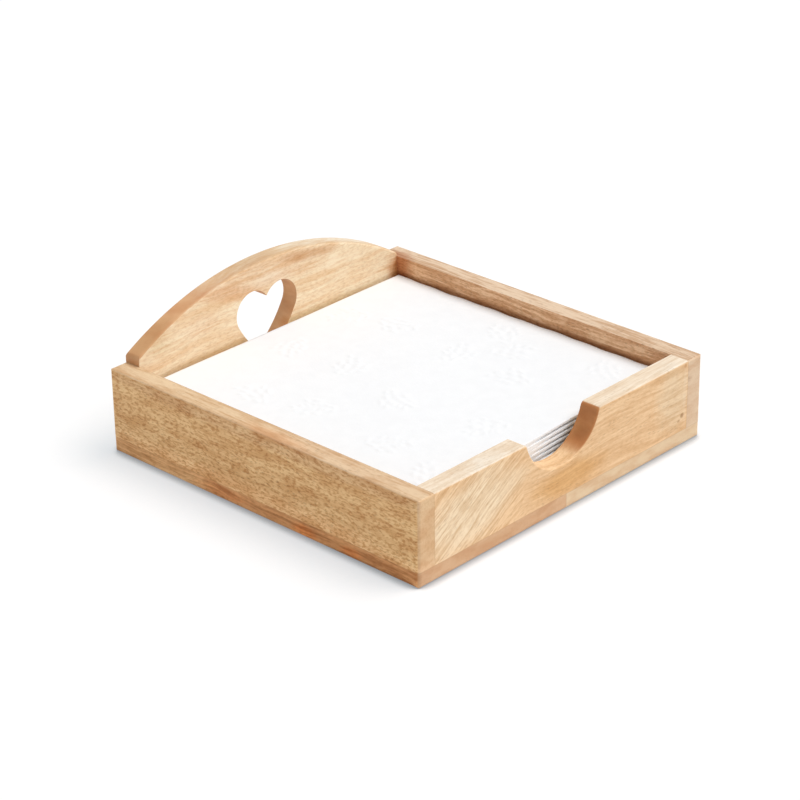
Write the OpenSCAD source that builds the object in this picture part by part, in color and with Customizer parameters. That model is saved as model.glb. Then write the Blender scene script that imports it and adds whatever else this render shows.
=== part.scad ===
// Square wooden tray for folded paper napkins, in millimetres.
// Two boards glued edge to edge make the base. Two side walls stand on it and run its
// full depth, with the front wall and the arched back board nailed between them.
// The arch is pierced by a heart and the front wall has a round thumb notch.
// The origin is the middle of the underside: X to the right, Y to the back, Z up.

/* [Napkins] */
// Side of a napkin folded in four
napkin_side = 165; // [120:1:200]
// Napkins in the stack
napkin_count = 20; // [10:1:26]
// Thickness of one leaf of embossed paper
leaf_t = 0.2; // [0.15:0.01:0.4]
// Air between the leaves of one napkin
leaf_gap = 0.1; // [0.08:0.01:0.2]
// Air between one napkin and the next
lay_gap = 0.15; // [0.1:0.01:0.4]
// Room left beside the stack, on each side
side_room = 2.5; // [1:0.5:8]
// Room left before and behind the stack
end_room = 3; // [1:0.5:8]

/* [Boards] */
// Height of the rim above the table
rim_h = 41.5; // [36:0.5:60]
// Thickness of the base boards
base_t = 7.5; // [5:0.5:10]
// Thickness of the side walls
side_t = 10; // [8:0.5:14]
// Thickness of the front wall
front_t = 10; // [8:0.5:14]
// Thickness of the arched back board
back_t = 9; // [8:0.5:14]
// Radius sanded onto the rim's outer edges and the front of the notch
ease_r = 1; // [0.4:0.1:1.6]
// Radius of the upright outer corners of the walls
corner_r = 1.8; // [0.5:0.1:4]
// Radius of the upright corners of the base
base_corner_r = 2; // [0.5:0.1:6]
// Radius sanded onto the edges of the underside
foot_r = 1.6; // [0.5:0.1:3]

/* [Arch] */
// Height of the arch's ends above the rim
arch_step = 3; // [1:0.5:6]
// Rise from the arch's ends to its top
arch_rise = 24; // [22:1:45]
// Distance of the arch's top to the left of the middle
arch_left = 1.7; // [0:0.1:4]
// Radius sanded onto the arch's two edges
arch_ease_r = 1; // [0.5:0.1:2]
// Radius of the arch's two upper corners, where it drops to the side walls
shoulder_r = 4; // [1:0.5:5]

/* [Heart] */
// Width across the heart's two lobes
heart_w = 39.4; // [26:0.2:44]
// Height of the heart from its point to the top of its lobes
heart_h = 36.5; // [26:0.5:40]
// Depth of the cleft between the lobes
cleft = 5; // [2:0.5:7]
// Radius of the heart's flanks
flank_r = 62; // [45:1:200]
// Wood left between the lobes and the top of the arch
heart_drop = 13.5; // [8:0.5:16]
// Distance of the heart's point to the left of the middle
heart_left = 4.2; // [0:0.1:8]

/* [Thumb notch] */
// Width of the notch at the rim
notch_w = 48; // [42:1:80]
// Depth of the notch below the rim
notch_depth = 19; // [10:0.2:19.8]
// Distance of the notch's middle to the left of the wall's
notch_left = 2.6; // [0:0.1:8]
// Radius of the two lips where the notch meets the rim
lip_r = 2.5; // [2:0.5:5]

/* [Brads] */
// Length of a brad that joins two walls
wall_brad_l = 25; // [18:1:32]
// Length of a brad that holds the base
base_brad_l = 22; // [18:1:26]
// Radius of the brad's wire
wire_r = 0.6; // [0.4:0.05:0.9]
// Radius of the brad's head
head_r = 0.95; // [0.95:0.05:1.4]
// Thickness of the brad's head
head_t = 0.7; // [0.4:0.1:1]
// Depth the heads are punched below the wood
set_depth = 0.5; // [0.2:0.1:1.5]
// Height of the lower wall brads above the base
brad_low = 4; // [3:0.5:8]
// Depth of the upper wall brads below the rim
brad_high = 7; // [4:0.5:12]

/* [Hidden] */
$fn = 64;

over = 2;
brad_clear = 0.05;
brad_tip = 1.5;
brad_end_room = 0.4;
// Where a round flows into another arc or a straight side, it crosses it by this much
// and doesn't only touch.
arc_bite = 0.02;
shoulder_bite = 0.1;

napkin_t = 4 * leaf_t + 3 * leaf_gap;
napkin_pitch = napkin_t + lay_gap;
pair_gap_in = leaf_t + leaf_gap;

inner_w = napkin_side + 2 * side_room;
inner_d = napkin_side + 2 * end_room;
body_w = inner_w + 2 * side_t;
body_d = inner_d + front_t + back_t;
half_w = body_w / 2;
half_d = body_d / 2;
wall_h = rim_h - base_t;
tray_mid_y = (front_t - back_t) / 2;

// The stack was dropped in against the right wall and the back board.
stack_right_share = 0.5;
stack_back_share = 0.35;
stray_share = 0.2;
stack_x = side_room * stack_right_share;
stack_y = tray_mid_y + end_room * stack_back_share;

arch_end_z = rim_h + arch_step;
arch_top_z = arch_end_z + arch_rise;
arch_r = ((inner_w / 2) ^ 2 + arch_rise ^ 2) / (2 * arch_rise);
arch_mid_z = arch_top_z - arch_r;

lobe_r = heart_w / 2 + cleft - sqrt(heart_w * cleft);
lobe_x = heart_w / 2 - lobe_r;
heart_top_z = arch_top_z - heart_drop;
heart_tip_z = heart_top_z - heart_h;
lobe_z = heart_top_z - lobe_r;

notch_r = ((notch_w / 2) ^ 2 + notch_depth ^ 2) / (2 * notch_depth);
notch_mid_z = rim_h - notch_depth + notch_r;
lip_z = rim_h - lip_r;
lip_x = sqrt((notch_r + lip_r - arc_bite) ^ 2 - (notch_mid_z - lip_z) ^ 2);

wall_brad_ys = [-half_d + front_t / 2, half_d - back_t / 2];
wall_brad_zs = [base_t + brad_low, rim_h - brad_high];
side_brad_shares = [-0.32, 0, 0.32];
end_brad_shares = [-0.24, 0.24];
base_brad_spots = concat(
    [for (side = [-1, 1], share = side_brad_shares)
        [side * (half_w - side_t / 2), share * body_d]],
    [for (share = end_brad_shares, y = wall_brad_ys) [share * body_w, y]]);

honey = [0.83, 0.66, 0.46];
tan_wood = [0.74, 0.56, 0.37];
orange_wood = [0.70, 0.49, 0.31];
steel = [0.55, 0.55, 0.56];
paper = [0.96, 0.96, 0.95];

function napkin_name(i) = str("napkin_", i < 10 ? "0" : "", i);

// A rectangle on the middle of the origin with its four corners rounded.
module rounded_rect(w, h, r) {
    square([w - 2 * r, h], center = true);
    square([w, h - 2 * r], center = true);
    for (x = [-1, 1], y = [-1, 1])
        translate([x * (w / 2 - r), y * (h / 2 - r)]) circle(r);
}

// A board's end, standing on the X axis, with both upper corners rounded, or only
// the one on the given side.
module eased_top(w, h, r, sides = [-1, 1]) {
    difference() {
        translate([-w / 2, 0]) square([w, h]);
        for (x = sides) translate([x * w / 2, h]) square(2 * r, center = true);
    }
    for (x = sides) translate([x * (w / 2 - r), h - r]) circle(r);
}

// A flat outline drawn in X and Z becomes a board from y to y + t.
module upright(y, t) {
    translate([0, y + t, 0]) rotate([90, 0, 0]) linear_extrude(t) children();
}

// A flat outline drawn in Y and Z becomes a bar from x to x + l.
module lengthwise(x, l) {
    translate([x, 0, 0]) rotate([90, 0, 90]) linear_extrude(l) children();
}

// The arch, the heart and the notch were marked out by hand a little left of the
// middle, each by its own distance.
module shifted_left(distance) {
    translate([-distance, 0, 0]) children();
}

// A round board of radius r and thickness t, on the XY plane about the Z axis, with
// its two edges rounded.
module eased_disc(r, t, ease) {
    rotate_extrude() {
        square([r - ease, t]);
        translate([0, ease]) square([r, t - 2 * ease]);
        for (z = [ease, t - ease]) translate([r - ease, z]) circle(ease);
    }
}

// The tool that rounds the edge of a round corner of wood, of radius r about the Z
// axis, where the face is at z = 0 and the wood is above it.
module round_edge_tool(r, ease) {
    rotate_extrude() difference() {
        translate([r - ease, -over]) square([ease + over, over + ease]);
        translate([r - ease, ease]) circle(ease);
    }
}

// The tool that rounds the edge of a round hole in the same way.
module round_hole_tool(r, ease) {
    rotate_extrude() difference() {
        translate([r - over, -over]) square([ease + over, over + ease]);
        translate([r + ease, ease]) circle(ease);
    }
}

// Puts a tool made about the Z axis on the front wall's outer face, about the line
// x = x, z = z.
module on_front_face(x, z) {
    translate([x, -half_d, z]) rotate([-90, 0, 0]) children();
}

// A brad points up the Z axis, with the top of its head at the origin.
module brad(l) {
    cylinder(h = head_t, r = head_r);
    cylinder(h = l - brad_tip, r = wire_r);
    translate([0, 0, l - brad_tip]) cylinder(h = brad_tip, r1 = wire_r, r2 = 0);
}

// The hole that a brad makes: a punched mouth for the head and a bore for the wire.
module brad_hole(l) {
    translate([0, 0, -over]) cylinder(h = over + head_t, r = head_r + brad_clear);
    cylinder(h = l + brad_end_room, r = wire_r + brad_clear);
}

module at_wall_brads(side) {
    for (y = wall_brad_ys, z = wall_brad_zs)
        translate([side * (half_w - set_depth), y, z]) rotate([0, -side * 90, 0]) children();
}

module at_base_brads() {
    for (spot = base_brad_spots) translate([spot[0], spot[1], set_depth]) children();
}

// Half of the base: its ends show at the front and the back, and the glued joint
// runs down the middle.
module base_board(side) {
    difference() {
        intersection() {
            linear_extrude(base_t) rounded_rect(body_w, body_d, base_corner_r);
            upright(-half_d, body_d) foot_outline(body_w);
            lengthwise(-half_w, body_w) foot_outline(body_d);
            translate([side < 0 ? -half_w - over : 0, -half_d - over, -over])
                cube([half_w + over, body_d + 2 * over, base_t + 2 * over]);
        }
        at_base_brads() brad_hole(base_brad_l);
    }
}

// The base seen from one side, with its two lower corners rounded.
module foot_outline(w) {
    translate([0, base_t]) mirror([0, 1]) eased_top(w, base_t, foot_r);
}

module base_left_board() {
    color(orange_wood) base_board(-1);
}

module base_right_board() {
    color(honey) base_board(1);
}

// A side wall runs the full depth, so its ends show at the front and the back. The
// rim was sanded after the boards were joined, so its inner edges are still sharp.
module side_wall(side) {
    difference() {
        intersection() {
            upright(-half_d, body_d)
                translate([side * (half_w - side_t / 2), base_t])
                    eased_top(side_t, wall_h, ease_r, [side]);
            linear_extrude(rim_h) rounded_rect(body_w, body_d, corner_r);
            lengthwise(-half_w, body_w)
                translate([0, base_t]) eased_top(body_d, wall_h, ease_r);
        }
        at_wall_brads(side) brad_hole(wall_brad_l);
        at_base_brads() brad_hole(base_brad_l);
    }
}

module left_side_wall() {
    color(tan_wood) side_wall(-1);
}

module right_side_wall() {
    color(tan_wood) side_wall(1);
}

// Between the notch and a lip, all above the line that joins their centres is open,
// apart from the lip itself.
module above_lips() {
    top_z = notch_mid_z + over;
    polygon([[-lip_x, lip_z], [0, notch_mid_z], [lip_x, lip_z],
             [lip_x, top_z], [-lip_x, top_z]]);
}

// The thumb notch: a round bite with its two lips rolled over into the rim.
module notch_outline() {
    intersection() {
        translate([0, notch_mid_z]) circle(notch_r);
        translate([-notch_r, rim_h - notch_depth - over])
            square([2 * notch_r, notch_depth + 2 * over]);
    }
    difference() {
        above_lips();
        for (x = [-1, 1]) translate([x * lip_x, lip_z]) circle(lip_r);
    }
}

// The notch's outer edge is sanded too, round the lips and up to the rim's.
module notch_easing() {
    on_front_face(0, notch_mid_z) round_hole_tool(notch_r, ease_r);
    intersection() {
        upright(-half_d - over, front_t) above_lips();
        for (x = [-1, 1]) on_front_face(x * lip_x, lip_z) round_edge_tool(lip_r, ease_r);
    }
}

module front_wall() {
    color(honey) difference() {
        lengthwise(-inner_w / 2, inner_w)
            translate([-half_d + front_t / 2, base_t])
                eased_top(front_t, wall_h, ease_r, [-1]);
        shifted_left(notch_left) {
            upright(-half_d - over, front_t + 2 * over) notch_outline();
            notch_easing();
        }
        for (side = [-1, 1]) at_wall_brads(side) brad_hole(wall_brad_l);
        at_base_brads() brad_hole(base_brad_l);
    }
}

// The heart: two round lobes, and two long flanks that flow out of them and meet in
// the point. A flank's centre is flank_r from the point and about flank_r - lobe_r
// from the lobe's centre, so it is where those two circles cross. Each flank ends at
// the line from its own centre through the lobe's.
module heart_outline() {
    tip = [0, heart_tip_z];
    lobe = [lobe_x, lobe_z];
    reach = norm(lobe - tip);
    along = (lobe - tip) / reach;
    across = [-along[1], along[0]];
    span = flank_r - lobe_r + arc_bite;
    foot = (flank_r ^ 2 - span ^ 2 + reach ^ 2) / (2 * reach);
    flank = tip + foot * along + sqrt(flank_r ^ 2 - foot ^ 2) * across;
    beyond = flank + (flank_r + over) * (lobe - flank) / span;
    for (x = [-1, 1]) translate([x * lobe[0], lobe[1]]) circle(lobe_r);
    intersection() {
        translate(flank) circle(flank_r);
        translate([-flank[0], flank[1]]) circle(flank_r);
        polygon([[-heart_w, heart_tip_z - over], [heart_w, heart_tip_z - over],
                 [heart_w, beyond[1]], beyond, lobe,
                 [-lobe[0], lobe[1]], [-beyond[0], beyond[1]], [-heart_w, beyond[1]]]);
    }
}

// The tool that rounds one upper corner of the arched board, drawn in X and Z about
// the arch's centre: all that lies beyond the corner, apart from the round itself.
module shoulder_outline(side) {
    reach = inner_w / 2 + side * arch_left;
    mid_x = reach - shoulder_r + shoulder_bite;
    mid = [side * mid_x, sqrt((arch_r - shoulder_r + shoulder_bite) ^ 2 - mid_x ^ 2)];
    outer = mid * (arch_r + over) / norm(mid);
    beyond_x = side * (reach + over);
    difference() {
        polygon([mid, outer, [beyond_x, outer[1]], [beyond_x, mid[1]]]);
        translate(mid) circle(shoulder_r);
    }
}

module back_board() {
    y = half_d - back_t;
    color(honey) difference() {
        intersection() {
            translate([-inner_w / 2, y - over, base_t])
                cube([inner_w, back_t + 2 * over, arch_top_z + over - base_t]);
            translate([-arch_left, y + back_t, arch_mid_z])
                rotate([90, 0, 0]) eased_disc(arch_r, back_t, arch_ease_r);
        }
        for (side = [-1, 1])
            translate([-arch_left, 0, arch_mid_z])
                upright(y - over, back_t + 2 * over) shoulder_outline(side);
        shifted_left(heart_left) upright(y - over, back_t + 2 * over) heart_outline();
        for (side = [-1, 1]) at_wall_brads(side) brad_hole(wall_brad_l);
        at_base_brads() brad_hole(base_brad_l);
    }
}

module wall_brads() {
    color(steel) for (side = [-1, 1]) at_wall_brads(side) brad(wall_brad_l);
}

// The wall brads' punched mouths are closed with wood filler, sanded flush.
module filler_spots() {
    color(tan_wood) for (side = [-1, 1])
        at_wall_brads(side) translate([0, 0, -set_depth]) cylinder(h = set_depth, r = head_r);
}

module base_brads() {
    color(steel) at_base_brads() brad(base_brad_l);
}

// A strip of paper doubled round a fold, seen from the side: the fold is a half
// round of radius r that starts at y, and the two ends are at y = napkin_side.
module doubled(y, r) {
    translate([y + r, 0]) circle(r);
    translate([y + r, -r]) square([napkin_side - y - r, 2 * r]);
}

// One napkin, folded in four. The first fold lies at the left edge and joins the
// leaves in pairs; the second is the round one at the front, where the outer pair
// wraps the inner one.
module napkin(i) {
    outer_r = napkin_t / 2;
    inner_r = outer_r - pair_gap_in;
    stray_x = side_room * stray_share * sin(i * 137);
    stray_y = end_room * stray_share * sin(i * 83);
    translate([stack_x + stray_x - napkin_side / 2, stack_y + stray_y - napkin_side / 2,
               base_t + lay_gap + (i - 1) * napkin_pitch + outer_r]) {
        lengthwise(0, napkin_side) difference() {
            doubled(0, outer_r);
            doubled(leaf_t, outer_r - leaf_t);
        }
        lengthwise(0, napkin_side) difference() {
            doubled(pair_gap_in, inner_r);
            doubled(pair_gap_in + leaf_t, inner_r - leaf_t);
        }
        lengthwise(0, leaf_t) difference() {
            doubled(0, outer_r);
            doubled(pair_gap_in + leaf_t, inner_r - leaf_t);
        }
    }
}

base_left_board();
base_right_board();
left_side_wall();
right_side_wall();
front_wall();
back_board();
wall_brads();
filler_spots();
base_brads();
for (i = [1 : napkin_count])
    color(paper) napkin(i);
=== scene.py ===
# %% [markdown]
# A napkin holder is a low square tray. Its walls keep a stack of folded paper napkins
# square, the arched back board carries a heart cut-out, and a round notch in the front
# wall lets a finger get under the top napkin.
# The boards come ready made from the CAD model, in metres and in their real places.
# They are only given their finish here, while the paper is built anew, because folded
# paper is far softer than the plain solids that hold its place.

# %% Load the tray
import math

import bpy
import numpy as np
from mathutils import Matrix, Vector


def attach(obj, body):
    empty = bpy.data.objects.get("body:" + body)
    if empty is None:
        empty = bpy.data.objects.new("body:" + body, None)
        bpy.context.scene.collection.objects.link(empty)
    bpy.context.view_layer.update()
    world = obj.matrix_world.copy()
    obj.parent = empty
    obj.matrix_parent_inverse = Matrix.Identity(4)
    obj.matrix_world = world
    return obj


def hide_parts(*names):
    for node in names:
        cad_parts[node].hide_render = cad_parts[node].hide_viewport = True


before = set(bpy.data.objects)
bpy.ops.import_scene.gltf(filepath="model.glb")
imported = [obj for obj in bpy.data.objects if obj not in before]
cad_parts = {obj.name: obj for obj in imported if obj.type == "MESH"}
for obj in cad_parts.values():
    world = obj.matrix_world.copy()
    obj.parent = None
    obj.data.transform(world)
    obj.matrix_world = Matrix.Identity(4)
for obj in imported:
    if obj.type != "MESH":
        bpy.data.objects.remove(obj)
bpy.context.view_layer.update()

MM = 0.001


def box_mm(node_name):
    """The lowest and the highest corner of a CAD node, in millimetres. A node's place is
    in its mesh, so its own coordinates are the tray's too."""
    corners = np.array(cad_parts[node_name].bound_box)
    return [np.round(corner / MM, 3).tolist() for corner in (corners.min(0), corners.max(0))]


BASE_TOP = box_mm("base_left_board")[1][2]
INNER_HALF = box_mm("front_wall")[1][0]
print("base", BASE_TOP, "mm thick, space between the side walls", 2 * INNER_HALF, "mm")

# %% [markdown]
# The camera stands in front and to the left of the tray, about a metre away and half as
# high above the table, and looks down at it through a long lens. A long lens keeps the far
# edges almost as long as the near ones, as a catalogue picture does. Its place could be
# found by trial, but yaw, pitch and roll as three named angles are easier to correct.

# %% Camera
yaw, pitch, roll = math.radians(46.4986), math.radians(26.2730), math.radians(-0.7885)
camera = bpy.data.objects.new("camera", bpy.data.cameras.new("camera"))
bpy.context.scene.collection.objects.link(camera)
camera.location = (-0.80965, -0.76391, 0.57145)
turn = Matrix.Rotation(-yaw, 3, "Z") @ Matrix.Rotation(math.pi / 2 - pitch, 3, "X")
camera.rotation_euler = (turn @ Matrix.Rotation(roll, 3, "Z")).to_euler()
camera.data.sensor_width = 36.0
camera.data.lens = 122.442
camera.data.clip_start, camera.data.clip_end = 0.05, 100.0
bpy.context.scene.camera = camera
print("camera", round(camera.location.length, 3), "m from the tray")

# %% [markdown]
# The tray stands on a white table in a bright room: light comes from everywhere, and a
# little more of it from the right, from the front and from above. A photographer would
# use a white tent and one big soft lamp. A plain white world and a sun with a very wide
# disc do the same, and give the soft shadow that lies to the left of the tray.

# %% Light and view
scene = bpy.context.scene
scene.view_settings.view_transform = "Standard"
room_light = 0.50
lamp_light = 2.28
towards_lamp = Vector((0.42, -0.39, 1.0))

lamp = bpy.data.objects.new("soft_lamp", bpy.data.lights.new("soft_lamp", "SUN"))
scene.collection.objects.link(lamp)
lamp.data.energy = lamp_light
lamp.data.angle = math.radians(40)
lamp.rotation_euler = towards_lamp.to_track_quat("Z", "Y").to_euler()
print("lamp", round(math.degrees(math.asin(towards_lamp.normalized().z))), "degrees up")

# %% [markdown]
# A material is a tree of nodes, and a tree is long to write node by node. In this small
# helper each call makes the nodes for one step and hands back what comes out of them, so
# that a finish reads like a sum: noise here, mixed with that colour there. All lengths
# in it are millimetres on the piece itself, read from Object coordinates.

# %% A helper for finishes
class Finish:
    """One material. add, noise and vector return the new node, and the other methods
    return the one output socket that is wanted."""

    def __init__(self, name):
        self.material = bpy.data.materials.new(name)
        self.material.use_nodes = True
        self.tree = self.material.node_tree
        self.tree.nodes.clear()
        self.place = self.add("ShaderNodeTexCoord")

    def add(self, kind, inputs=None, **settings):
        """A new node of a kind, with its settings and its inputs filled in."""
        made = self.tree.nodes.new(kind)
        for name, value in settings.items():
            setattr(made, name, value)
        for key, value in (inputs or {}).items():
            self.feed(made.inputs[key], value)
        return made

    def feed(self, socket, value):
        """Links the socket to another one, or gives it a plain value."""
        if isinstance(value, bpy.types.NodeSocket):
            self.tree.links.new(value, socket)
        else:
            socket.default_value = value

    def mm(self, scale=(1, 1, 1), turn=(0, 0, 0), shift=(0, 0, 0)):
        """Object coordinates in millimetres, times scale, then turned, then shifted."""
        return self.add("ShaderNodeMapping", {
            "Vector": self.place.outputs["Object"],
            "Scale": [s / MM for s in scale],
            "Rotation": [math.radians(a) for a in turn],
            "Location": shift}).outputs[0]

    def stretch(self, vector, scale, shift=(0, 0, 0)):
        """A vector times scale, then shifted."""
        return self.add("ShaderNodeMapping", {
            "Vector": vector, "Scale": scale, "Location": shift}).outputs[0]

    def noise(self, vector, detail=2.0, rough=0.5):
        """Cloudy noise about one unit wide; a vector that is squeezed makes it streaky."""
        return self.add("ShaderNodeTexNoise", {
            "Vector": vector, "Scale": 1.0, "Detail": detail, "Roughness": rough})

    def sum(self, operation, first, second=0.0):
        """One operation on two numbers."""
        return self.add("ShaderNodeMath", {0: first, 1: second},
                        operation=operation).outputs[0]

    def vector(self, operation, first, second=(0, 0, 0)):
        """One operation on two vectors."""
        return self.add("ShaderNodeVectorMath", {0: first, 1: second}, operation=operation)

    def ramp(self, value, low, high, start=0.0, end=1.0):
        """Goes smoothly from start to end while value goes from low to high."""
        return self.add("ShaderNodeMapRange", {
            "Value": value, "From Min": low, "From Max": high,
            "To Min": start, "To Max": end}, interpolation_type="SMOOTHSTEP").outputs[0]

    def mix(self, share, first, second, how="MIX"):
        """Colour first where share is 0 and colour second where it is 1, or another way
        of joining them, such as MULTIPLY, that is given as how."""
        made = self.add("ShaderNodeMix", data_type="RGBA", blend_type=how)
        self.feed(made.inputs[0], share)
        for socket, colour in ((made.inputs[6], first), (made.inputs[7], second)):
            solid = isinstance(colour, (tuple, list))
            self.feed(socket, (*colour, 1.0) if solid else colour)
        return made.outputs[2]

    def blend(self, share, first, second):
        """The number first where share is 0 and the number second where it is 1."""
        made = self.add("ShaderNodeMix", {0: share, 2: first, 3: second}, data_type="FLOAT")
        return made.outputs[0]

    def tint(self, share, colour, factor):
        """Colour times factor, by share."""
        return self.mix(share, colour, self.mix(1.0, colour, factor, "MULTIPLY"))

    def apart(self, vector):
        """The three parts of a vector."""
        return self.add("ShaderNodeSeparateXYZ", {"Vector": vector}).outputs

    def spot(self, centre, size, tilt=0.0):
        """1 inside an oval at centre, fading to 0 at its rim; sizes are half widths in
        millimetres, tilt turns it in the board's face, and noise makes its rim ragged.
        full and gone are shares of the half widths."""
        full, gone, ragged = 0.35, 1.1, 0.35
        centred = self.mm(shift=[-c for c in centre])
        turned = self.add("ShaderNodeVectorRotate", {
            "Vector": centred, "Angle": math.radians(tilt)}, rotation_type="Y_AXIS")
        oval = self.stretch(turned.outputs[0], [1 / s for s in size])
        drift = self.noise(self.stretch(oval, (2.2, 2.2, 2.2), centre), 3.0, 0.6)
        length = self.vector("LENGTH", oval).outputs["Value"]
        wobble = self.sum("MULTIPLY", self.sum("SUBTRACT", drift.outputs[0], 0.5), ragged * 2)
        return self.ramp(self.sum("ADD", length, wobble), full, gone, 1.0, 0.0)

    def surface(self, colour, roughness, height=None, depth=0.0, **fixed):
        """Ends the material: colour, roughness and relief into one Principled shader.
        depth is the relief's height in millimetres."""
        shader = self.add("ShaderNodeBsdfPrincipled", {"Base Color": colour,
                                                       "Roughness": roughness, **fixed})
        if height is not None:
            relief = self.add("ShaderNodeBump", {"Height": height, "Distance": depth * MM,
                                                 "Strength": 1.0})
            self.feed(shader.inputs["Normal"], relief.outputs[0])
        end = self.add("ShaderNodeOutputMaterial")
        self.feed(end.inputs["Surface"], shader.outputs[0])
        return self.material


print("finishes are written in millimetres")

# %% [markdown]
# The table is a wide white sheet. To the eye it should be pure white, but the tray must
# still throw its shadow there. So the rays that show it to the eye meet a matt surface
# with a bluish glow added, which fills the shadow as a real studio's walls do, and the
# last few millimetres beside the tray get painted shade, darker the more closed in they
# are. The rays that only carry light meet plain matt white. The world does the same: it
# looks white, and lights the tray with less than that.

# %% Table and room
seen_rays = ("Is Camera Ray", "Is Glossy Ray", "Is Transmission Ray")


def seen_share(finish_tree):
    """1 for rays that show a surface to the eye, 0 for rays that only light things."""
    path = finish_tree.nodes.new("ShaderNodeLightPath")
    total = path.outputs[seen_rays[0]]
    for name in seen_rays[1:]:
        joined = finish_tree.nodes.new("ShaderNodeMath")
        joined.operation = "MAXIMUM"
        finish_tree.links.new(total, joined.inputs[0])
        finish_tree.links.new(path.outputs[name], joined.inputs[1])
        total = joined.outputs[0]
    return total


world = bpy.data.worlds.new("white_room")
scene.world = world
world.use_nodes = True
sky = world.node_tree.nodes["Background"]
sky.inputs["Color"].default_value = (1.0, 1.0, 1.0, 1.0)
level = world.node_tree.nodes.new("ShaderNodeMapRange")
level.inputs["To Min"].default_value = room_light
level.inputs["To Max"].default_value = 1.0
world.node_tree.links.new(seen_share(world.node_tree), level.inputs["Value"])
world.node_tree.links.new(level.outputs[0], sky.inputs["Strength"])

plain_matt, matt_part = (0.86, 0.86, 0.86, 1.0), (0.45, 0.39, 0.35)
glow_part = (0.53, 0.595, 0.64, 1.0)
closed_in, open_air, darkest = 0.45, 0.85, 0.5
table_white = Finish("table_white")
matt = table_white.add("ShaderNodeBsdfDiffuse", {"Color": plain_matt})
nearby = table_white.add("ShaderNodeAmbientOcclusion", {"Distance": 8 * MM}, samples=16)
# painted shade: the table's colour and its glow grow darker where the tray closes it in
painted_contact_shade = table_white.ramp(nearby.outputs["AO"], closed_in, open_air, darkest, 1.0)
seen_matt = table_white.add("ShaderNodeBsdfDiffuse", {
    "Color": table_white.tint(1.0, matt_part, painted_contact_shade)})
glow = table_white.add("ShaderNodeEmission", {"Color": glow_part, "Strength": painted_contact_shade})
seen_look = table_white.add("ShaderNodeAddShader", {0: seen_matt.outputs[0],
                                                    1: glow.outputs[0]})
either = table_white.add("ShaderNodeMixShader", {
    0: seen_share(table_white.tree), 1: matt.outputs[0], 2: seen_look.outputs[0]})
table_white.add("ShaderNodeOutputMaterial", {"Surface": either.outputs[0]})

half_table = 30.0
table_mesh = bpy.data.meshes.new("table_top")
table_corners = [(-half_table, -half_table, 0), (half_table, -half_table, 0),
                 (half_table, half_table, 0), (-half_table, half_table, 0)]
table_mesh.from_pydata(table_corners, [], [(0, 1, 2, 3)])
table_top = bpy.data.objects.new("table_top", table_mesh)
scene.collection.objects.link(table_top)
table_mesh.materials.append(table_white.material)
print("table", 2 * half_table, "m wide")

# %% [markdown]
# The boards are a warm, open-grained hardwood, sanded and left without varnish. What
# makes it look like wood and not like brown plastic are long streaks and finer lines that
# wander a little, a soft mottle where the grain leans in and out, fibres, and short dark
# pores and flecks. An image of a plank would stretch and repeat. Noise that is squeezed
# across the grain and stretched along it is solid, so the streaks run round every edge
# and turn into dots on the ends by themselves.

# %% The wood's grain
SIDEWAYS = 9.0


def grain_of(f, along, shift, lean=0.0):
    """Millimetres in the board's own directions, the first one along the grain. lean
    turns the grain in the board's face, for a board sawn from a crooked log. Slow noise
    pushes the other two directions sideways, so that streaks wander."""
    turn = (0, 0, -90) if along == "y" else (0, lean, 0)
    straight = f.mm(turn=turn, shift=shift)
    slow = f.noise(f.stretch(straight, (1 / 70, 1 / 28, 1 / 28)), 2.0, 0.5)
    push = f.vector("SUBTRACT", slow.outputs["Color"], (0.5, 0.5, 0.5)).outputs[0]
    push = f.vector("MULTIPLY", push, (0.0, SIDEWAYS, SIDEWAYS)).outputs[0]
    return f.vector("ADD", straight, push).outputs[0]


def tone_of(f, grain, streak, line, mottle, fibre):
    """0 is the deep tone and 1 the pale one: half, plus each kind of noise about its own
    mean, times its strength. A part is a strength, one over its size along and across the
    grain in millimetres, and how fine its detail is. Each kind is moved aside by its own
    amount, so that no two of them coincide."""
    parts = ((streak, (1 / 110, 1 / 4.5, 1 / 4.5), 3.0),
             (line, (1 / 55, 1 / 1.3, 1 / 1.3), 2.0),
             (mottle, (1 / 16, 1 / 7, 1 / 7), 2.0),
             (fibre, (1 / 6, 1 / 0.6, 1 / 0.6), 2.0))
    total = 0.5
    for strength, scale, detail in parts:
        seen = f.noise(f.stretch(grain, scale, (strength * 7, 3.0, 9.0)), detail, 0.55)
        offset = f.sum("SUBTRACT", seen.outputs[0], 0.5)
        total = f.sum("ADD", total, f.sum("MULTIPLY", offset, strength))
    return total


PORE_LONG, PORE_WIDE = 3.2, 0.75
FLECK_LONG, FLECK_WIDE = 2.4, 0.95


def pores_of(f, grain, amount):
    """1 in a pore: the middle of a stretched cell, kept in some cells only, and in
    patches that slow noise picks."""
    cells = f.add("ShaderNodeTexVoronoi", {
        "Vector": f.stretch(grain, (1 / PORE_LONG, 1 / PORE_WIDE, 1 / PORE_WIDE)),
        "Scale": 1.0})
    dash = f.ramp(cells.outputs["Distance"], 0.16, 0.42, 1.0, 0.0)
    pick = f.apart(cells.outputs["Color"])
    kept = f.ramp(pick[0], 0.35, 0.65)
    slow = f.noise(f.stretch(grain, (1 / 26, 1 / 12, 1 / 12), (5.0, 5.0, 5.0)), 2.0, 0.5)
    patch = f.ramp(slow.outputs[0], 0.36, 0.60, 0.25, 1.0)
    dashes = f.sum("MULTIPLY", dash, kept)
    return f.sum("MULTIPLY", f.sum("MULTIPLY", dashes, patch), amount)


def flecks_of(f, grain, amount):
    """1 in a fleck: the short wavy dashes that cover a board sawn across its rays. They
    are the peaks of a noise that is drawn out along the grain."""
    drawn_out = f.stretch(grain, (1 / FLECK_LONG, 1 / FLECK_WIDE, 1 / FLECK_WIDE),
                          (11.0, 2.0, 7.0))
    wave = f.noise(drawn_out, 3.0, 0.6)
    return f.sum("MULTIPLY", f.ramp(wave.outputs[0], 0.46, 0.62), amount)


print("grain helpers ready")

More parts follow.
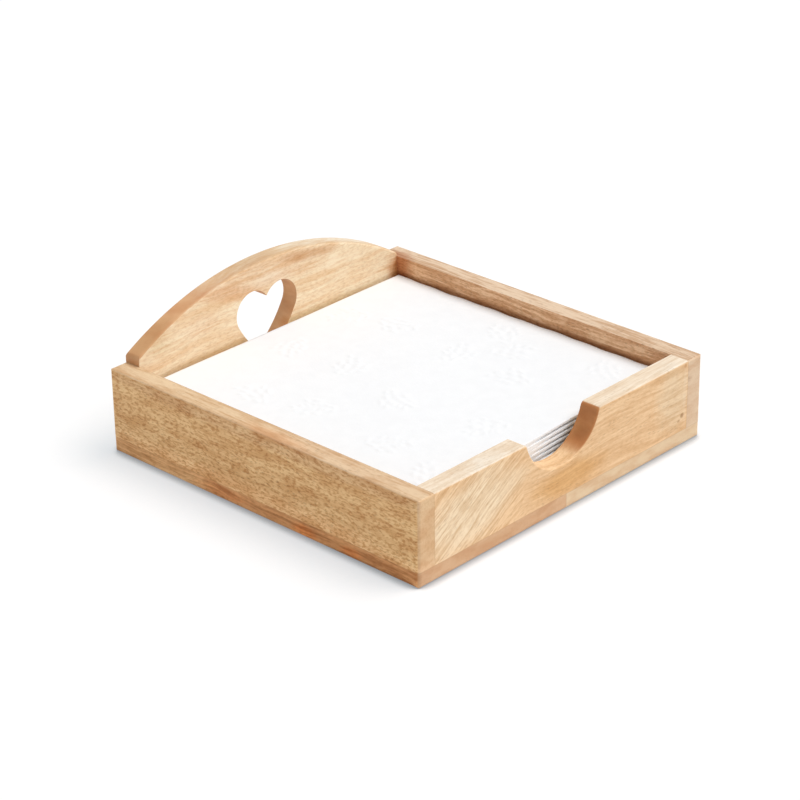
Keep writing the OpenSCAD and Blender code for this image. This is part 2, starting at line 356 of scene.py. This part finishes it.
# %% [markdown]
# Most of the boards have level grain, but the front wall comes from a crooked log: its
# grain leans at the left end and lies level at the right. One texture could only be
# turned as a whole. So a function makes the figure, which is the tone, the pores and the
# flecks together, and it is called twice for that board, once level and once leaning.
# Slow noise makes the border between the two wander.

# %% The figure of a board
PORE_TONE = (0.42, 0.36, 0.30)
FLECK_TONE = (0.70, 0.54, 0.37)
WANDER = 16.0
LEVEL_ON_RIM = 0.75


def figure_of(f, along, shift, lean, figure):
    """The tone, the pores and the flecks of one piece of grain. figure holds the
    strengths of streaks, lines, mottle, fibre, pores and flecks."""
    streak, line, mottle, fibre, pores, flecks = figure
    grain = grain_of(f, along, shift, lean)
    return (tone_of(f, grain, streak, line, mottle, fibre), pores_of(f, grain, pores),
            flecks_of(f, grain, flecks))


def level_and_leaning(f, along, shift, figure, leaning, here, on_rim):
    """The figure of a whole board. leaning is None for a board with level grain, or an
    angle, the two places in X between which the leaning grain goes back to level, and the
    leaning grain's own figure. That border wanders, and the rim stays mostly level."""
    level = figure_of(f, along, shift, 0.0, figure)
    if leaning is None:
        return level
    lean, low, high, other = leaning
    wander = f.noise(f.mm((1 / 12, 1 / 12, 1 / 12)), 3.0, 0.6).outputs[0]
    place = f.sum("ADD", here[0], f.sum("MULTIPLY", wander, WANDER))
    level_share = f.sum("MAXIMUM", f.ramp(place, low + WANDER / 2, high + WANDER / 2),
                        f.sum("MULTIPLY", on_rim, LEVEL_ON_RIM))
    crooked = figure_of(f, along, shift, lean, other)
    return [f.blend(level_share, a, b) for a, b in zip(crooked, level)]


print("pores", PORE_LONG, "mm and flecks", FLECK_LONG, "mm long")

# %% [markdown]
# Where a board is cut across, the ends of its fibres show, and they drink more light and
# look darker and redder. A second material on those faces would leave a hard line at
# every rounded edge. So the direction that a face points in decides how much end grain
# it shows, and the change is soft. Faces that look to the left, away from the lamp, can
# take the dark end tone sooner, and there it is partly painted shade. Where two boards
# meet, a joint is a hairline of shadow, too fine to model, so it is painted as a thin
# darker line.

# %% End grain and joints
DARK_RING, PALE_RING = (0.93, 0.86, 0.80), (1.05, 1.10, 1.14)
JOINT_TONE, JOINT_SHARE = (0.45, 0.32, 0.22), 0.22


def end_share_of(f, normal, along, end_at, left_end_and_shade_at):
    """1 where a face cuts the grain. end_at says how far a face has to turn from the
    grain for that, as two cosines between which the share rises from 0 to 1. The pair for
    faces that look to the left, unless it is None, says the same for them; they look away
    from the lamp, so their end tone is partly painted shade."""
    on_end = f.ramp(f.sum("ABSOLUTE", normal["xyz".index(along)]), *end_at)
    if left_end_and_shade_at is None:
        return on_end
    leftward = f.sum("MULTIPLY", normal[0], -1.0)
    return f.sum("MAXIMUM", on_end, f.ramp(leftward, *left_end_and_shade_at))


def end_grain_of(f, end_tone):
    """The cut ends' colour: end_tone, times a darker and a paler ring by slow noise."""
    rings = f.noise(f.mm((1 / 14, 1 / 14, 1 / 5)), 3.0, 0.55).outputs[0]
    darker, paler = ([part * ring for part, ring in zip(end_tone, tone)]
                     for tone in (DARK_RING, PALE_RING))
    return f.mix(f.ramp(rings, 0.32, 0.68), darker, paler)


def with_joint(f, colour, here, normal, joint):
    """The colour with a faint dark line where two boards meet. A joint is an axis, a
    place on it and the half width of its line, and shows on faces along it only."""
    axis, at, half = joint
    number = "xyz".index(axis)
    off = f.sum("ABSOLUTE", f.sum("SUBTRACT", here[number], at))
    across = f.ramp(f.sum("ABSOLUTE", normal[number]), 0.2, 0.6, 1.0, 0.0)
    line = f.sum("MULTIPLY", f.ramp(off, half * 0.3, half, JOINT_SHARE, 0.0), across)
    return f.tint(line, colour, JOINT_TONE)


print("end grain and joints ready")

# %% [markdown]
# Every board was cut from another plank, so each has its own pale and deep tone, its own
# pores and its own soft patches, and its upward faces along the rim are tinted by a
# factor of their own. One function makes all of these finishes, because the boards differ
# only in values, and a list of patches puts each board's marks in place, together with
# some painted shade and painted light that are marked where they are listed.

# %% The wood's finish
RIM_FROM, RIM_FULL = 38.0, 40.8
FAINTER_ON_END, FAINTER_ON_RIM = 0.75, 0.8
ROUGH_DEEP, ROUGH_PALE = 0.62, 0.50
FLECK_DENT, GRAIN_RISE, DENT_DEPTH = 0.35, 0.25, 0.05


def wood_finish(name, along, pale, deep, end_tone, figure, rim_tint=(1.0, 1.0, 1.0),
                end_at=(0.35, 0.80), left_end_and_shade_at=None, shift=(0, 0, 0), patches=(),
                joints=(), leaning=None):
    """A sanded board. along is the grain's axis, and shift moves the noise, so that no
    two boards are alike. pale, deep and end_tone are linear colours, and rim_tint is what
    the upward faces near the rim and above it are multiplied by. A patch is a centre,
    three half widths, a tilt, a factor and a share, all lengths in millimetres. The
    other values are those of the helpers above."""
    f = Finish(name)
    here = f.apart(f.mm())
    normal = f.apart(f.place.outputs["Normal"])
    on_rim = f.sum("MULTIPLY", f.ramp(normal[2], 0.35, 0.85),
                   f.ramp(here[2], RIM_FROM, RIM_FULL))
    tone, pore, fleck = level_and_leaning(f, along, shift, figure, leaning, here, on_rim)
    on_end = end_share_of(f, normal, along, end_at, left_end_and_shade_at)
    colour = f.mix(f.ramp(tone, 0.0, 1.0), deep, pale)
    colour = f.mix(on_end, colour, end_grain_of(f, end_tone))
    for centre, size, tilt, factor, share in patches:
        inside = f.sum("MULTIPLY", f.spot(centre, size, tilt), share)
        colour = f.tint(inside, colour, factor)
    rim_share = f.sum("MULTIPLY", on_rim, f.sum("SUBTRACT", 1.0, on_end))
    colour = f.tint(rim_share, colour, rim_tint)
    off_end = f.sum("SUBTRACT", 1.0, f.sum("MULTIPLY", on_end, FAINTER_ON_END))
    off_rim = f.sum("SUBTRACT", 1.0, f.sum("MULTIPLY", on_rim, FAINTER_ON_RIM))
    pore = f.sum("MULTIPLY", pore, off_end)
    fleck = f.sum("MULTIPLY", f.sum("MULTIPLY", fleck, off_end), off_rim)
    colour = f.tint(pore, colour, PORE_TONE)
    colour = f.tint(fleck, colour, FLECK_TONE)
    for joint in joints:
        colour = with_joint(f, colour, here, normal, joint)
    rough = f.ramp(tone, 0.0, 1.0, ROUGH_DEEP, ROUGH_PALE)
    dents = f.sum("ADD", pore, f.sum("MULTIPLY", fleck, FLECK_DENT))
    height = f.sum("SUBTRACT", f.sum("MULTIPLY", tone, GRAIN_RISE), dents)
    return f.surface(colour, rough, height, DENT_DEPTH, **{"Specular IOR Level": 0.35})


def dress(node_name, material):
    """Gives a CAD node its finish."""
    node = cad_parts[node_name]
    node.data.materials.clear()
    node.data.materials.append(material)
    print(node_name, "is dressed in", material.name)


on_base = ("z", BASE_TOP, 0.25)
on_left, on_right = ("x", -INNER_HALF, 0.25), ("x", INNER_HALF, 0.25)
in_base = ("x", 0.0, 0.3)
print("joints at", on_base, on_left, on_right, in_base)

# %% [markdown]
# The two base boards are glued edge to edge. Their long sides show along the left and
# right of the tray and their ends along the front, where the left board is redder and
# the right one paler. One material on both would hide the joint between them, so each
# board has its own, and the grain of one is shifted far away from that of the other.

# %% Base boards
base_left_wood = wood_finish(
    "base_left_wood", "y", pale=(0.86, 0.45, 0.19), deep=(0.52, 0.215, 0.07),
    end_tone=(0.66, 0.40, 0.225), figure=(2.3, 1.6, 1.3, 0.8, 0.3, 0.4),
    shift=(31, 12, 44), joints=(on_base, in_base),
    patches=(((-95, 62, 4), (8, 44, 7), 0, (1.24, 1.50, 1.72), 0.9),
             ((-95, -50, 4), (8, 56, 7), 0, (0.91, 0.86, 0.80), 0.9),
             ((-95, 24, 4), (8, 20, 4), 0, (1.02, 0.82, 0.66), 0.7),
             ((-95, -28, 3), (8, 9, 4), 0, (1.30, 0.95, 0.62), 0.7),
             ((-95, -56, 3), (8, 8, 3), 0, (1.25, 0.92, 0.62), 0.7)))
base_right_wood = wood_finish(
    "base_right_wood", "y", pale=(0.84, 0.60, 0.36), deep=(0.66, 0.42, 0.21),
    end_tone=(0.74, 0.535, 0.335), figure=(1.6, 0.9, 0.9, 0.6, 0.35, 0.2),
    shift=(-53, 41, 17), joints=(on_base, in_base))
dress("base_left_board", base_left_wood)
dress("base_right_board", base_right_wood)

# %% [markdown]
# The left wall is the brownest board, and short dark flecks cover its whole face. Its
# lower part is lightened with painted light, for the light that the table throws up. The
# right wall shows its inner face, which darkens towards the corner at the back. Shadow
# gives some of that, but more of it would need a weaker room light on every board, so a
# brown patch of painted shade adds the rest, and a line of painted shade lies where the
# napkins meet it.

# %% Side walls
left_wall_wood = wood_finish(
    "left_wall_wood", "y", pale=(0.92, 0.613, 0.298), deep=(0.705, 0.39, 0.154),
    end_tone=(0.72, 0.47, 0.26), figure=(1.1, 1.2, 1.7, 0.9, 0.4, 0.9),
    rim_tint=(0.82, 0.905, 1.16), shift=(12, -80, 5),
    joints=(on_base, on_left),
    # painted light: the lower part of the wall is lightened along its whole length
    patches=(((-95, 0, 7), (30, 150, 9), 0, (1.22, 1.24, 1.34), 0.9),
             ((-95, 0, 38.5), (3, 150, 4), 0, (0.91, 0.89, 0.93), 0.9),
             ((-90, -50, 42), (12, 62, 3), 0, (0.97, 0.95, 0.97), 0.9),
             ((-92, -8, 42), (5, 26, 3), 0, (1.0, 0.86, 0.76), 0.8)))
right_wall_wood = wood_finish(
    "right_wall_wood", "y", pale=(0.92, 0.60, 0.357), deep=(0.69, 0.378, 0.189),
    end_tone=(0.72, 0.51, 0.335), figure=(3.0, 2.8, 2.6, 1.2, 0.5, 0.5),
    rim_tint=(0.80, 0.92, 1.08), shift=(-140, 25, 60),
    joints=(on_base, on_right),
    # painted shade: darker into the corner at the back, and a dark line along the napkins'
    # top
    patches=(((85, 86, 36), (8, 12, 16), 0, (0.62, 0.36, 0.22), 0.9),
             ((85, 0, 32.5), (6, 130, 2.6), 0, (0.55, 0.40, 0.30), 0.8)))
dress("left_side_wall", left_wall_wood)
dress("right_side_wall", right_wall_wood)

# %% [markdown]
# The front wall is pale and speckled at its left end, where the grain leans and rises to
# the notch. Below the notch it is orange and smooth, and to the right it has fine level
# lines and a few small dark marks. Thin pieces laid on the board could carry each of
# these, but they fade into one another, so they are soft ovals of another tone over one
# grain. In the notch, the cut side that looks to the left, away from the lamp, gets
# painted shade, and the notch's floor is made paler and cooler with painted light.

# %% Front wall
front_wall_wood = wood_finish(
    "front_wall_wood", "x", pale=(0.90, 0.62, 0.36), deep=(0.72, 0.44, 0.22),
    end_tone=(0.50, 0.205, 0.068), end_at=(0.75, 0.95), left_end_and_shade_at=(0.28, 0.58),
    figure=(1.3, 1.4, 0.7, 0.6, 0.3, 0.2),
    shift=(-20, 33, -41), leaning=(31, -33, -24, (1.1, 2.4, 0.9, 1.6, 0.3, 0.2)),
    rim_tint=(1.0, 1.25, 1.72),
    joints=(on_base, on_left, on_right),
    patches=(((-62, -95, 24), (40, 14, 20), 15, (1.06, 1.25, 1.52), 0.9),
             ((2, -95, 15), (30, 10, 9), 0, (0.89, 0.76, 0.53), 0.9),
             # painted light: the floor of the notch is paler and cooler
             ((0, -89, 16), (22, 6, 6), 0, (1.06, 1.10, 1.16), 0.8),
             ((-52, -88, 42), (36, 10, 3), 0, (0.96, 0.94, 0.92), 0.9),
             # painted shade: darker on the notch's cut side that looks to the left
             ((15, -90, 30), (6, 5, 4.5), 0, (0.82, 0.78, 0.70), 0.9),
             ((74, -95, 26), (14, 14, 20), 0, (0.98, 1.09, 1.23), 0.9),
             ((83.2, -95, 27), (1.8, 3.0, 20), 0, (1.04, 1.10, 1.20), 0.8),
             ((81.4, -95, 15.3), (1.6, 3.0, 1.5), 20, (0.52, 0.43, 0.34), 0.9),
             ((79.0, -95, 13.3), (1.3, 3.0, 0.9), 0, (0.62, 0.50, 0.40), 0.8),
             ((83.0, -95, 39.8), (1.3, 3.0, 1.3), 0, (0.78, 0.64, 0.50), 0.9)))
dress("front_wall", front_wall_wood)

# %% [markdown]
# The back board is the palest, with long level streaks and a browner patch under the top
# of the arch. The arch was sawn across the grain, so its edge grows darker and redder
# towards both ends, where it shows more and more end grain. A second material for the
# edge would need its faces picked out one by one, while the direction that they point in
# already tells how much end grain they show. Faces that look to the left, away from the
# lamp, take the dark end tone sooner, so there it is partly painted shade. Painted shade
# also darkens the board just above the napkins and in its corner at the right.

# %% Back board
back_board_wood = wood_finish(
    "back_board_wood", "x", pale=(1.0, 0.83, 0.59), deep=(0.88, 0.61, 0.355),
    end_tone=(0.66, 0.355, 0.17), left_end_and_shade_at=(0.05, 0.35),
    figure=(1.5, 1.3, 0.9, 0.8, 0.15, 0.3),
    rim_tint=(0.72, 0.67, 0.62), shift=(60, -22, 14),
    joints=(on_base, on_left, on_right),
    patches=(((24, 86, 62.5), (24, 6, 3.8), -10, (0.78, 0.62, 0.50), 0.9),
             ((-28, 86, 58.5), (28, 6, 5), -14, (0.90, 0.76, 0.66), 0.8),
             ((-6, 86, 61), (46, 6, 9), -6, (0.93, 0.86, 0.83), 0.9),
             # painted shade: a darker band just above the napkins
             ((0, 86, 31), (90, 6, 4.0), 0, (0.96, 0.84, 0.62), 0.6),
             ((46, 92, 64), (46, 6, 14), -10, (1.12, 1.29, 1.56), 0.9),
             ((-74, 91, 50), (20, 7, 14), 0, (0.86, 0.84, 0.76), 0.9),
             ((14.6, 93, 52), (4, 6, 5), 0, (0.88, 0.80, 0.74), 0.8),
             ((14.6, 91, 44), (4, 6, 7), 0, (1.07, 1.10, 1.10), 0.9),
             ((-10, 91, 68), (18, 8, 6), 0, (0.92, 0.87, 0.83), 0.85),
             ((1, 86, 57.5), (13, 5, 4.5), 0, (1.04, 1.10, 1.20), 0.9),
             ((-45, 86, 49), (15, 5, 7), 0, (0.98, 0.95, 0.95), 0.9),
             # painted shade: darker in the corner at the right, where the napkins meet the
             # wall
             ((90, 86, 34), (13, 7, 13), 0, (0.66, 0.34, 0.13), 0.95)))
dress("back_board", back_board_wood)

# %% [markdown]
# The mouths over the wall brads are closed with filler mixed from the wall's own sanding
# dust, so the eye hardly finds them. It takes the left wall's finish as it stands.

# %% Filler
dress("filler_spots", left_wall_wood)

# %% [markdown]
# The brads are bright steel wire, gone dull where the hammer's punch drove their heads
# below the wood. Blank metal would look like a mirror, so fine noise breaks its gloss.

# %% Brads
DULL_STEEL, BRIGHT_STEEL = (0.22, 0.20, 0.19), (0.46, 0.45, 0.44)
brad_steel = Finish("dull_brad_steel")
scuffs = brad_steel.noise(brad_steel.mm((3.0, 3.0, 3.0)), 3.0, 0.6).outputs[0]
steel_tone = brad_steel.mix(brad_steel.ramp(scuffs, 0.3, 0.7), DULL_STEEL, BRIGHT_STEEL)
brad_metal = brad_steel.surface(steel_tone, brad_steel.ramp(scuffs, 0.3, 0.7, 0.55, 0.35),
                                scuffs, 0.02, Metallic=1.0)
for name in ("wall_brads", "base_brads"):
    dress(name, brad_metal)

# %% [markdown]
# The napkins are white tissue with small sprigs pressed into it, folded in four. A sheet
# of cloth could be simulated, but a machine fold is exact: the first fold lies at the
# left edge and the second one at the front. So the sheet is worked out as a surface of
# two parameters, one across each fold. The first fold is a half round, and the second is
# a straight front between two quarter rounds, with the leaves nested in one another as
# in the plain solid that the sheet stands for.

# %% The folded sheet
LEAF_T = 0.2
LEAF_STEP = 0.3
CORNER = 0.15
napkin_low, napkin_high = box_mm("napkin_01")
SIDE = round(napkin_high[0] - napkin_low[0], 3)
HALF_T = round((napkin_high[2] - napkin_low[2]) / 2, 3)


def leaf_rows(length, steps):
    """Distances from a fold's straight start to the leaf's free edge, evenly spaced."""
    return np.linspace(0.0, length, steps + 1)[1:]


def across_first_fold(outer_steps, inner_steps, side):
    """The sheet's cross-section at the left edge. Along the outer leaf's way in, round a
    half circle and out along the inner leaf; returns the distance from the left edge and
    the distance from the napkin's middle plane, for the face on that side of the leaf."""
    radius = LEAF_STEP / 2 + side * LEAF_T / 2
    middle = HALF_T - LEAF_T / 2 - LEAF_STEP / 2
    start = LEAF_STEP / 2 + LEAF_T / 2
    angle = np.linspace(math.pi / 2, -math.pi / 2, 9)
    outer = leaf_rows(SIDE - start, outer_steps)[::-1]
    inner = leaf_rows(SIDE - start, inner_steps)
    x = np.concatenate([start + outer, start - radius * np.cos(angle), start + inner])
    level = np.concatenate([np.full(outer.size, middle + radius),
                            middle + radius * np.sin(angle),
                            np.full(inner.size, middle - radius)])
    return x, level


def across_second_fold(level, upper_steps, lower_steps):
    """The cross-section at the front edge, for leaves that are level millimetres from the
    middle plane: back to front over the top, round the fold, and back underneath. The
    weight above has pressed the fold flat, so it is a straight front between two quarter
    circles, whose radius is the same share of every leaf's level."""
    angle = np.linspace(math.pi / 2, 0.0, 5)
    upper = leaf_rows(SIDE - HALF_T, upper_steps)[::-1]
    lower = leaf_rows(SIDE - HALF_T, lower_steps)
    corner_ahead = 1.0 - CORNER + CORNER * np.cos(angle)
    corner_up = 1.0 - CORNER + CORNER * np.sin(angle)
    ahead = np.concatenate([corner_ahead, [1.0], corner_ahead[::-1]])
    upward = np.concatenate([corner_up, [0.0], -corner_up[::-1]])
    y = np.concatenate([HALF_T + upper, np.full(ahead.size, HALF_T), HALF_T + lower])
    round_y = np.concatenate([np.zeros(upper.size), -ahead, np.zeros(lower.size)])
    round_z = np.concatenate([np.ones(upper.size), upward, -np.ones(lower.size)])
    return (y[None, :] + level[:, None] * round_y[None, :],
            level[:, None] * round_z[None, :])


def napkin_faces(columns, rows):
    """Two grids of the same size, one for each face of the leaf, joined round the rim.
    The first grid faces out of the fold and the second one into it."""
    number = np.arange(columns * rows).reshape(columns, rows)
    a, b = number[:-1, :-1].ravel(), number[1:, :-1].ravel()
    c, d = number[1:, 1:].ravel(), number[:-1, 1:].ravel()
    inside = columns * rows
    outer = np.stack([a, b, c, d], 1)
    inner = np.stack([d, c, b, a], 1) + inside
    rim = np.concatenate([number[:, 0], number[-1, 1:], number[-2::-1, -1],
                          number[0, -2:0:-1]])
    after = np.roll(rim, -1)
    edge = np.stack([after, rim, rim + inside, after + inside], 1)
    return np.concatenate([outer, inner, edge])


print("one napkin is", 2 * SIDE, "mm square before it is folded")

# %% [markdown]
# A real stack is never quite even. Each napkin lies a little off the one below, and the
# whole stack swells and sinks softly, more so towards the top. A simulation would find
# its own unevenness, but the plain solids already lie where the real napkins do. So each
# sheet takes its solid's place, and smooth waves, the same for all leaves of one napkin,
# bend it without pushing one leaf through another.

# %% How the sheets lie
COUNT = 20
STACK_X, STACK_Y = 1.25, 1.55
STRAY_X, STRAY_Y = 0.5, 0.6
FIRST_MIDDLE = round((napkin_low[2] + napkin_high[2]) / 2, 3)
LAY_STEP = round(box_mm("napkin_02")[0][2] - napkin_low[2], 3)
LONG_SWELL, SHORT_SWELL = 0.16, 0.10


def stray(index):
    """How far a napkin lies off the stack's middle, in X and Y, as in the CAD model:
    STRAY_X times the sine of 137 degrees times its number, and STRAY_Y times the sine
    of 83 degrees times its number."""
    return (STRAY_X * math.sin(math.radians(index * 137)),
            STRAY_Y * math.sin(math.radians(index * 83)))


def swell(x, y, share):
    """Height of the stack's soft swelling in millimetres: two slow waves, times how high
    in the stack the napkin lies."""
    long_wave = np.sin(x / 31.0 + 0.7) * np.cos(y / 37.0 - 0.4)
    short_wave = np.sin(x / 17.0 - y / 23.0 + 1.9)
    return share * (LONG_SWELL * long_wave + SHORT_SWELL * short_wave)


print("napkin middles", LAY_STEP, "mm apart, the first", FIRST_MIDDLE, "mm up")

# %% [markdown]
# Through the notch the folded fronts can be told apart. At the left they bulge forwards,
# and towards the right every other one stands back and leaves a dark gap. A bump in the
# material would only shade such gaps and not open them, so each front is pushed forwards
# or back in the mesh, by a formula of its place in X and of the napkin's number.

# %% The fronts
RECESSES = (0.0, 3.5, 0.1, 3.0, 0.2, 3.7, 0.0, 3.2)
RECESS_FROM, RECESS_OVER, RECESS_STRAY = -10.0, 34.0, 5.0
BULGE, BULGE_TO, BULGE_OVER = 2.0, 26.0, 60.0
PUFF, PUFF_OVER = 0.115, 12.0
RAGGED_FINE, RAGGED_SLOW = 0.25, 0.20


def eased(share):
    """Goes smoothly from 0 to 1: three times the square less twice the cube of share,
    which is held between 0 and 1 first."""
    share = np.clip(share, 0.0, 1.0)
    return share * share * (3 - 2 * share)


def front_recess(x, index):
    """How far the front fold is pushed back, in millimetres. The fronts were knocked
    square, so what the napkin strays is taken out again. At the left the whole stack
    bulges forwards, and to the right every other napkin stands back more and more."""
    starts = RECESS_FROM - RECESS_STRAY * math.sin(index * 1.7)
    recess = RECESSES[index % len(RECESSES)] * eased((x - starts) / RECESS_OVER)
    return recess - BULGE * eased((BULGE_TO - x) / BULGE_OVER) - stray(index)[1]


def front_puff(y):
    """How much thicker than elsewhere the napkin is near its front fold, as a factor:
    the springy folds there close the air between one napkin and the next."""
    return 1.0 + PUFF * np.clip(1.0 - y / PUFF_OVER, 0.0, 1.0)


def ragged_edge(y, index):
    """How far the free edges at the right stand out, in millimetres: two waves in Y."""
    return (RAGGED_FINE * np.sin(y / 3.1 + index)
            + RAGGED_SLOW * np.sin(y / 7.7 + 2.1 * index))


print("the deepest front fold stands", max(RECESSES), "mm back")

# %% [markdown]
# Now a folded napkin can go to its place. Moving the finished object would be enough for
# a stiff card, but paper bends with its stack. So its points are worked out in the
# napkin's own millimetres, and one function carries them into the stack with every push
# added, before they become a mesh.

# %% Into the stack
RELIEF_ABOVE, RELIEF_FADE = 0.3, 0.05


def lay_napkin(grid_x, grid_y, grid_z, index, raised):
    """From the napkin's own millimetres to its place in the stack: its corner's place,
    plus the front recess times the cube of how near the front the point is, plus the
    ragged edge times a high power of how near the right edge it is, plus the swell."""
    stray_x, stray_y = stray(index)
    x = STACK_X + stray_x - SIDE / 2 + grid_x
    y = STACK_Y + stray_y - SIDE / 2 + grid_y
    middle = FIRST_MIDDLE + (index - 1) * LAY_STEP
    y = y + front_recess(x, index) * (1.0 - grid_y / SIDE) ** 3
    x = x + ragged_edge(y, index) * (grid_x / SIDE) ** 12
    z = middle + grid_z * front_puff(grid_y) + swell(x, y, index / COUNT) + raised
    return np.stack([x, y, z], -1) * MM


def build_napkin(name, index, fine, coarse, emboss=None):
    """The sheet as one closed mesh: the grid of its outer face, the grid of its inner
    face, and the rim between them. fine and coarse are the steps along the outer and
    the inner leaves. emboss gives the relief, which is put on the upper face only."""
    grids = []
    for side in (1, -1):
        x, level = across_first_fold(fine, coarse, side)
        y, z = across_second_fold(level, fine, coarse)
        x = np.repeat(x[:, None], y.shape[1], 1)
        raised = np.zeros_like(x)
        if emboss is not None:
            raised = emboss(x, y) * np.clip((z - RELIEF_ABOVE) / RELIEF_FADE, 0.0, 1.0)
        grids.append(lay_napkin(x, y, z, index, raised))
    columns, rows = grids[0].shape[:2]
    points = np.concatenate([g.reshape(-1, 3) for g in grids])
    mesh = bpy.data.meshes.new(name)
    mesh.from_pydata(points.tolist(), [], napkin_faces(columns, rows).tolist())
    mesh.polygons.foreach_set("use_smooth", np.ones(len(mesh.polygons), bool))
    mesh.update()
    made = bpy.data.objects.new(name, mesh)
    scene.collection.objects.link(made)
    return made


print(COUNT, "napkins stand", COUNT * LAY_STEP, "mm high")

# %% [markdown]
# The pressed pattern is a scatter of small sprigs: a bent stem with leaves on both
# sides. Each one is a group of little oval domes, and a dome is a bell curve in the two
# directions of its leaf. It is made in the mesh of the top napkin, because a raised
# pattern that is only painted on has no edge when the light rakes over it.

# %% The sprigs
SPRIGS = ((-8, 27, 20), (-12, 64, 200), (-57, 40, 75), (-49, 11, 130), (-21, -12, 250),
          (36, -1, 15), (33, -35, 100), (-54, -39, 310), (-13, -58, 160), (38, 42, 285),
          (66, -2, 60), (66, -62, 225), (-62, -70, 35), (32, 68, 140), (53, -19, 330))
ROWS = (-2.6, -0.9, 0.9, 2.6)
ROW_GAP, LEAF_GAP, REACH = 2.3, 2.9, 4.4
LEAF_LONG, LEAF_WIDE, LEAF_TURN = 1.6, 0.82, 0.8
RELIEF = 0.36


def leaf_dome(px, py, centre, heading):
    """The relief of one leaf: a bell curve along it times a narrower one across it."""
    off_x, off_y = px - centre[0], py - centre[1]
    u = off_x * math.cos(heading) + off_y * math.sin(heading)
    v = -off_x * math.sin(heading) + off_y * math.cos(heading)
    return RELIEF * np.exp(-(u / LEAF_LONG) ** 2 - (v / LEAF_WIDE) ** 2)


def sprig_height(x, y):
    """The relief at a point, in millimetres: the tallest of all leaves there. A sprig's
    leaves lie in four rows along its bent stem, the outer rows shorter than the inner,
    and a few sines of their numbers put them slightly out of line."""
    height = np.zeros_like(x)
    px, py = x - SIDE / 2, y - SIDE / 2
    for at_x, at_y, heading in SPRIGS:
        head = math.radians(heading)
        for step in range(-3, 4):
            for row in ROWS:
                if abs(step) + abs(row) > REACH:
                    continue
                along = LEAF_GAP * step + 0.8 * math.sin(3.1 * step + 5.0 * row + heading)
                bend = 0.03 * along * along
                out = ROW_GAP * row + bend + 0.5 * math.sin(7.0 * step + row)
                centre = (at_x + along * math.cos(head) - out * math.sin(head),
                          at_y + along * math.sin(head) + out * math.cos(head))
                turned = head + math.copysign(LEAF_TURN, row)
                height = np.maximum(height, leaf_dome(px, py, centre, turned))
    return height


print(len(SPRIGS), "sprigs on a quarter of the sheet")

# %% [markdown]
# Tissue is almost pure white and quite matt. Two faint things keep it from looking like
# plastic: the tiny quilted dimples of the press, and a slight cloudiness of the fibres.
# The front folds are painted a shade whiter and cooler than the rest. This painted light
# stands in for the light that falls on the leaves, shines through the thin paper and
# comes out there.

# %% Tissue
THIN_WHITE, THICK_WHITE = (0.852, 0.857, 0.867), (0.870, 0.875, 0.885)
FRONT_PAINTED_WHITE = (0.93, 0.955, 0.985)
tissue = Finish("white_tissue")
clouds = tissue.noise(tissue.mm((1 / 6, 1 / 6, 1 / 6)), 3.0, 0.6).outputs[0]
dimples = tissue.add("ShaderNodeTexVoronoi", {
    "Vector": tissue.mm((1 / 1.1, 1 / 1.1, 1 / 1.1)), "Scale": 1.0}).outputs["Distance"]
flat_white = tissue.mix(tissue.ramp(clouds, 0.3, 0.7), THIN_WHITE, THICK_WHITE)
# painted light: faces that look forward are whiter and cooler
forward = tissue.sum("MULTIPLY", tissue.apart(tissue.place.outputs["Normal"])[1], -1.0)
white = tissue.mix(tissue.ramp(forward, 0.2, 0.8), flat_white, FRONT_PAINTED_WHITE)
tissue_paper = tissue.surface(white, tissue.ramp(clouds, 0.3, 0.7, 0.95, 0.85), dimples,
                              0.02, **{"Specular IOR Level": 0.2})
print("the paper is", tissue_paper.name)

# %% [markdown]
# Nineteen napkins are hidden but for their front folds and edges, so they get a coarse
# grid. Only the top one, which is lifted off first, carries the pressed pattern and a
# grid of less than a millimetre.

# %% Napkin stack
TOP_STEPS, HIDDEN_STEPS, INNER_STEPS = 198, 30, 10
for index in range(1, COUNT + 1):
    cad_name = f"napkin_{index:02d}"
    on_top = index == COUNT
    steps, emboss = (TOP_STEPS, sprig_height) if on_top else (HIDDEN_STEPS, None)
    sheet = build_napkin(f"folded_{cad_name}", index, steps, INNER_STEPS, emboss)
    sheet.data.materials.append(tissue_paper)
    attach(sheet, "top_napkin" if on_top else "napkin_stack")
    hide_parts(cad_name)
print("top napkin has", len(sheet.data.polygons), "faces")
